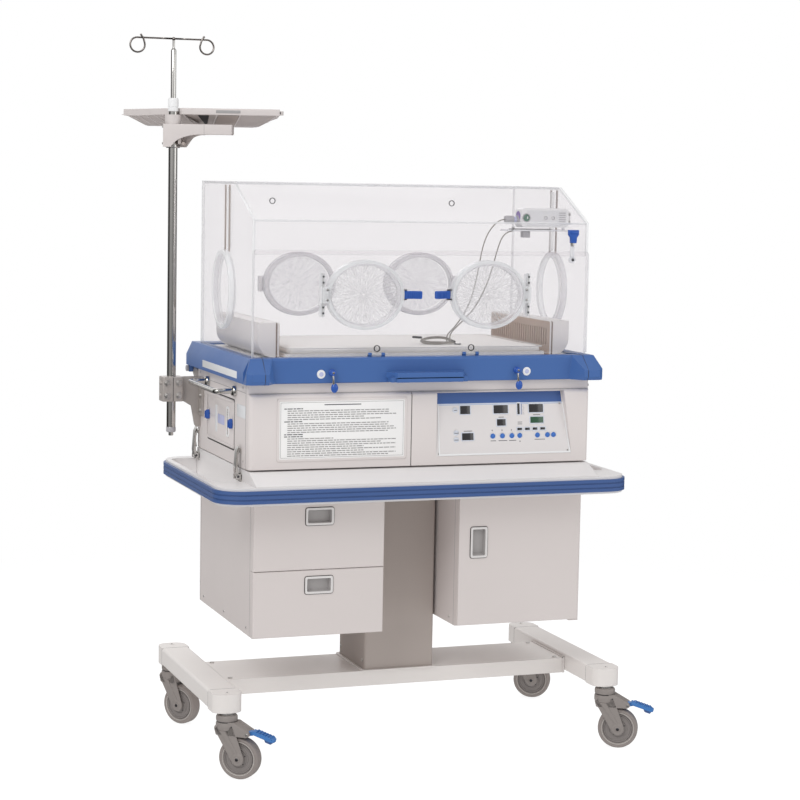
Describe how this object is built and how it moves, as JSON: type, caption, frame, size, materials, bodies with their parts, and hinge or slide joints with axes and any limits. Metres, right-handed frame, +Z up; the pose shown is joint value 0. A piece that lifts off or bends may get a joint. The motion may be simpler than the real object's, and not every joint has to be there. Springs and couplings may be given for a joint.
{
  "type": "infant incubator",
  "caption": "Infant incubator: clear hood with oval hand ports on a heated housing, on a wheeled stand with rail, drawers, cupboard and drip pole.",
  "frame": {"origin": "middle of the footprint of the whole object, on the floor", "axes": "+X to the right seen from the control panel, +Y to the back, +Z up"},
  "size_m": [1.2246, 0.8658, 1.7493],
  "materials": {
    "stand_paint": "satin powder coat",
    "cabinet_paint": "satin powder coat",
    "housing_plastic": "fine satin moulding",
    "rail_blue": "ribbed satin bumper",
    "rim_blue": "satin moulding",
    "latch_blue": "glossy",
    "clear_acrylic": "polished acrylic",
    "panel_film": "printed film over windows and keys",
    "caster_grey": "moulded",
    "tyre_grey": "soft tread",
    "chrome": "polished",
    "steel": "brushed",
    "pole_alloy": "cast and blasted",
    "bed_plastic": "satin",
    "mattress_cover": "wipe-clean sheet",
    "duct_plastic": "satin",
    "motor_metal": "cast",
    "fan_plastic": "moulded",
    "lead_grey": "soft lead",
    "module_plastic": "glossy"
  },
  "bodies": {
    "stand": {"base_frame": "stand_paint", "column": "stand_paint", "stand_head": "stand_paint", "rail_bumper": "rail_blue", "drawer_cabinet": "cabinet_paint", "door_cabinet": "cabinet_paint", "housing_shell": "housing_plastic", "instruction_cover": "housing_plastic", "control_cover": "housing_plastic", "control_panel": "panel_film", "side_fittings": "chrome", "chamber_deck": "bed_plastic", "blower_motor": "motor_metal", "mattress_tray": "bed_plastic", "mattress": "mattress_cover", "air_ducts": "duct_plastic", "hood_hinges": "steel", "pole_tube": "chrome", "pole_bracket": "pole_alloy", "lead_coil": "lead_grey"},
    "caster_front_left": {"caster_fork_front_left": "caster_grey"},
    "wheel_front_left": {"caster_wheel_front_left": "tyre_grey"},
    "pedal_front_left": {"brake_pedal_front_left": "latch_blue"},
    "caster_front_right": {"caster_fork_front_right": "caster_grey"},
    "wheel_front_right": {"caster_wheel_front_right": "tyre_grey"},
    "pedal_front_right": {"brake_pedal_front_right": "latch_blue"},
    "caster_rear_left": {"caster_fork_rear_left": "caster_grey"},
    "wheel_rear_left": {"caster_wheel_rear_left": "tyre_grey"},
    "caster_rear_right": {"caster_fork_rear_right": "caster_grey"},
    "wheel_rear_right": {"caster_wheel_rear_right": "tyre_grey"},
    "drawer_upper": {"drawer_upper": "cabinet_paint"},
    "drawer_lower": {"drawer_lower": "cabinet_paint"},
    "cabinet_door": {"cabinet_door": "cabinet_paint"},
    "humidifier_drawer": {"humidifier_drawer": "housing_plastic"},
    "humidifier_knob_front": {"humidifier_knob_front": "latch_blue"},
    "humidifier_knob_rear": {"humidifier_knob_rear": "latch_blue"},
    "toggle_lever_front_left": {"toggle_lever_front_left": "steel"},
    "toggle_lever_front_right": {"toggle_lever_front_right": "steel"},
    "toggle_lever_rear_left": {"toggle_lever_rear_left": "steel"},
    "toggle_lever_rear_right": {"toggle_lever_rear_right": "steel"},
    "shelf": {"pole_shelf": "bed_plastic", "shelf_arm": "pole_alloy"},
    "hook_rod": {"hook_rod": "chrome"},
    "blower_fan": {"blower_fan": "fan_plastic"},
    "hood": {"hood_shell": "clear_acrylic", "hood_port_frames": "clear_acrylic", "hood_rim": "rim_blue", "sensor_module": "module_plastic", "sensor_lead": "lead_grey"},
    "front_door": {"front_door": "clear_acrylic", "front_port_frames": "clear_acrylic"},
    "door_lock": {"door_lock": "latch_blue"},
    "port_door_front_left": {"port_door_front_left": "clear_acrylic"},
    "port_latch_left": {"port_latch_left": "latch_blue"},
    "port_door_rear_left": {"port_door_rear_left": "clear_acrylic"},
    "hood_lever_left": {"hood_lever_left": "latch_blue"},
    "port_door_front_right": {"port_door_front_right": "clear_acrylic"},
    "port_latch_right": {"port_latch_right": "latch_blue"},
    "port_door_rear_right": {"port_door_rear_right": "clear_acrylic"},
    "hood_lever_right": {"hood_lever_right": "latch_blue"}
  },
  "joints": [
    {"name": "swivel_front_left", "type": "hinge", "parent": "stand", "child": "caster_front_left", "pos_m": [-0.48395, -0.34783, 0.157], "axis": [0, 0, 1], "continuous": true},
    {"name": "roll_front_left", "type": "hinge", "parent": "caster_front_left", "child": "wheel_front_left", "pos_m": [-0.45637, -0.36938, 0.05], "axis": [0.6157, 0.788, 0], "continuous": true},
    {"name": "brake_front_left", "type": "hinge", "parent": "caster_front_left", "child": "pedal_front_left", "pos_m": [-0.43825, -0.38354, 0.111], "axis": [0.6157, 0.788, 0], "range_deg": [0, 12]},
    {"name": "swivel_front_right", "type": "hinge", "parent": "stand", "child": "caster_front_right", "pos_m": [0.49805, -0.34783, 0.157], "axis": [0, 0, 1], "continuous": true},
    {"name": "roll_front_right", "type": "hinge", "parent": "caster_front_right", "child": "wheel_front_right", "pos_m": [0.52895, -0.36426, 0.05], "axis": [0.4695, 0.8829, 0], "continuous": true},
    {"name": "brake_front_right", "type": "hinge", "parent": "caster_front_right", "child": "pedal_front_right", "pos_m": [0.54926, -0.37506, 0.111], "axis": [0.4695, 0.8829, 0], "range_deg": [0, 12]},
    {"name": "swivel_rear_left", "type": "hinge", "parent": "stand", "child": "caster_rear_left", "pos_m": [-0.48395, 0.19217, 0.157], "axis": [0, 0, 1], "continuous": true},
    {"name": "roll_rear_left", "type": "hinge", "parent": "caster_rear_left", "child": "wheel_rear_left", "pos_m": [-0.46289, 0.16422, 0.05], "axis": [0.7986, 0.6018, 0], "continuous": true},
    {"name": "swivel_rear_right", "type": "hinge", "parent": "stand", "child": "caster_rear_right", "pos_m": [0.49805, 0.19217, 0.157], "axis": [0, 0, 1], "continuous": true},
    {"name": "roll_rear_right", "type": "hinge", "parent": "caster_rear_right", "child": "wheel_rear_right", "pos_m": [0.52836, 0.17467, 0.05], "axis": [0.5, 0.866, 0], "continuous": true},
    {"name": "drawer_upper_slide", "type": "slide", "parent": "stand", "child": "drawer_upper", "axis": [0, -1, 0], "range_m": [0, 0.3]},
    {"name": "drawer_lower_slide", "type": "slide", "parent": "stand", "child": "drawer_lower", "axis": [0, -1, 0], "range_m": [0, 0.3]},
    {"name": "cabinet_door_hinge", "type": "hinge", "parent": "stand", "child": "cabinet_door", "pos_m": [0.42135, -0.31513, 0.53], "axis": [0, 0, 1], "range_deg": [0, 110]},
    {"name": "humidifier_slide", "type": "slide", "parent": "stand", "child": "humidifier_drawer", "axis": [-1, 0, 0], "range_m": [0, 0.17]},
    {"name": "humidifier_knob_front_turn", "type": "hinge", "parent": "humidifier_drawer", "child": "humidifier_knob_front", "pos_m": [-0.42995, -0.17383, 0.818], "axis": [1, 0, 0], "range_deg": [0, 90]},
    {"name": "humidifier_knob_rear_turn", "type": "hinge", "parent": "humidifier_drawer", "child": "humidifier_knob_rear", "pos_m": [-0.42995, 0.03917, 0.818], "axis": [1, 0, 0], "range_deg": [0, 90]},
    {"name": "toggle_front_left", "type": "hinge", "parent": "stand", "child": "toggle_lever_front_left", "pos_m": [-0.43895, -0.25083, 0.702], "axis": [0, -1, 0], "range_deg": [0, 60]},
    {"name": "toggle_front_right", "type": "hinge", "parent": "stand", "child": "toggle_lever_front_right", "pos_m": [0.45305, -0.25083, 0.702], "axis": [0, 1, 0], "range_deg": [0, 60]},
    {"name": "toggle_rear_left", "type": "hinge", "parent": "stand", "child": "toggle_lever_rear_left", "pos_m": [-0.43895, 0.14417, 0.702], "axis": [0, -1, 0], "range_deg": [0, 60]},
    {"name": "toggle_rear_right", "type": "hinge", "parent": "stand", "child": "toggle_lever_rear_right", "pos_m": [0.45305, 0.14417, 0.702], "axis": [0, 1, 0], "range_deg": [0, 60]},
    {"name": "shelf_swivel", "type": "hinge", "parent": "stand", "child": "shelf", "pos_m": [-0.50795, 0.12217, 1.48], "axis": [0, 0, 1], "range_deg": [-90, 90]},
    {"name": "hook_rod_slide", "type": "slide", "parent": "stand", "child": "hook_rod", "axis": [0, 0, 1], "range_m": [0, 0.25]},
    {"name": "fan_spin", "type": "hinge", "parent": "stand", "child": "blower_fan", "pos_m": [0.06705, -0.07783, 0.938], "axis": [0, 0, 1], "continuous": true},
    {"name": "hood_tilt", "type": "hinge", "parent": "stand", "child": "hood", "pos_m": [0.00705, 0.21217, 0.918], "axis": [-1, 0, 0], "range_deg": [0, 25]},
    {"name": "front_door_hinge", "type": "hinge", "parent": "hood", "child": "front_door", "pos_m": [0.00705, -0.31113, 0.9936], "axis": [1, 0, 0], "range_deg": [0, 90]},
    {"name": "door_lock_turn", "type": "hinge", "parent": "front_door", "child": "door_lock", "pos_m": [0.38905, -0.31413, 1.222], "axis": [0, 1, 0], "range_deg": [0, 80]},
    {"name": "port_door_front_left_hinge", "type": "hinge", "parent": "front_door", "child": "port_door_front_left", "pos_m": [-0.25545, -0.32713, 1.137], "axis": [0, 0, -1], "range_deg": [0, 120]},
    {"name": "port_latch_left_turn", "type": "hinge", "parent": "front_door", "child": "port_latch_left", "pos_m": [-0.04845, -0.32613, 1.137], "axis": [0, 0, -1], "range_deg": [0, 30]},
    {"name": "port_door_rear_left_hinge", "type": "hinge", "parent": "hood", "child": "port_door_rear_left", "pos_m": [-0.26245, 0.17317, 1.137], "axis": [0, 0, 1], "range_deg": [0, 120]},
    {"name": "hood_lever_left_turn", "type": "hinge", "parent": "hood", "child": "hood_lever_left", "pos_m": [-0.22995, -0.32783, 0.953], "axis": [0, 1, 0], "range_deg": [0, 90]},
    {"name": "port_door_front_right_hinge", "type": "hinge", "parent": "front_door", "child": "port_door_front_right", "pos_m": [0.26955, -0.32713, 1.137], "axis": [0, 0, 1], "range_deg": [0, 120]},
    {"name": "port_latch_right_turn", "type": "hinge", "parent": "front_door", "child": "port_latch_right", "pos_m": [0.06255, -0.32613, 1.137], "axis": [0, 0, 1], "range_deg": [0, 30]},
    {"name": "port_door_rear_right_hinge", "type": "hinge", "parent": "hood", "child": "port_door_rear_right", "pos_m": [0.27655, 0.17317, 1.137], "axis": [0, 0, -1], "range_deg": [0, 120]},
    {"name": "hood_lever_right_turn", "type": "hinge", "parent": "hood", "child": "hood_lever_right", "pos_m": [0.24405, -0.32783, 0.953], "axis": [0, -1, 0], "range_deg": [0, 90]}
  ]
}
